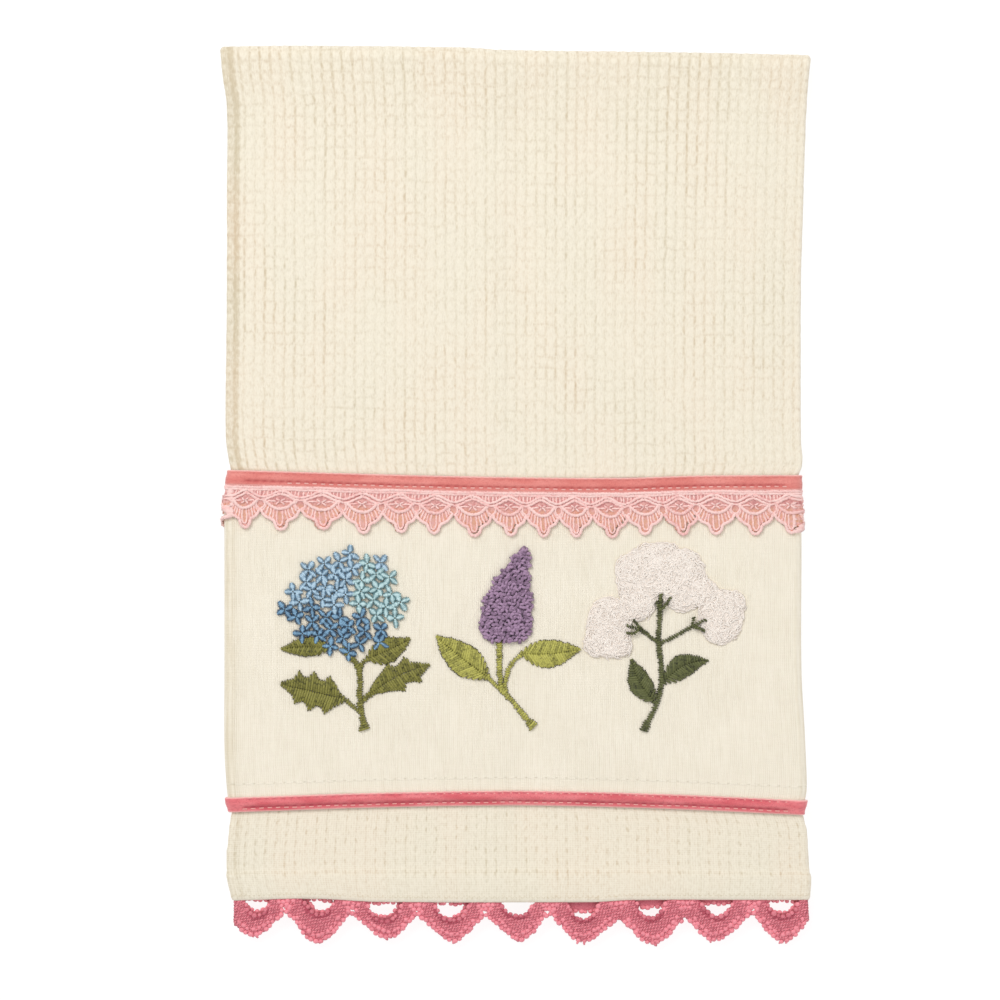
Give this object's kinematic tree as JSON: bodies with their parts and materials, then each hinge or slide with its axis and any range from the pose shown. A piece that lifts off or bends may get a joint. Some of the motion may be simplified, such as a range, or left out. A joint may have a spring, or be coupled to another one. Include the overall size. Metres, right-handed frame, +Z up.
{
  "type": "hand towel",
  "caption": "Folded cream waffle-weave hand towel with an embroidered flower panel edged in ribbon, a pink scalloped lace trim and a rose lace hem.",
  "frame": {"origin": "middle of the underside, on the surface that the folded towel lies on", "axes": "+Z up out of the face with the flowers; -Y towards the lace hem; +X to the right when the flowers are upright"},
  "size_m": [0.2191, 0.3335, 0.014],
  "materials": {
    "waffle_cloth": "soft matte cotton waffle weave",
    "panel_cloth": "matte plain-weave cotton and linen",
    "coral_ribbon": "short velvet-like pile",
    "rose_ribbon": "short velvet-like pile",
    "pale_lace": "corded cotton lace",
    "rose_lace": "cotton crochet-like lace",
    "blue_thread": "glossy satin-stitch thread",
    "olive_thread": "satin-stitch thread",
    "purple_yarn": "matte looped yarn",
    "lime_thread": "satin-stitch thread",
    "white_yarn": "fuzzy matte yarn",
    "dark_green_thread": "satin-stitch thread"
  },
  "bodies": {
    "root": {"towel_cloth": "waffle_cloth", "flower_panel": "panel_cloth", "upper_ribbon": "coral_ribbon", "lower_ribbon": "rose_ribbon", "upper_lace": "pale_lace", "hem_lace": "rose_lace", "hydrangea_bloom": "blue_thread", "hydrangea_leaves": "olive_thread", "hydrangea_side_leaf": "olive_thread", "lilac_bloom": "purple_yarn", "lilac_leaves": "lime_thread", "snowball_bloom": "white_yarn", "snowball_leaves": "dark_green_thread"}
  },
  "joints": []
}
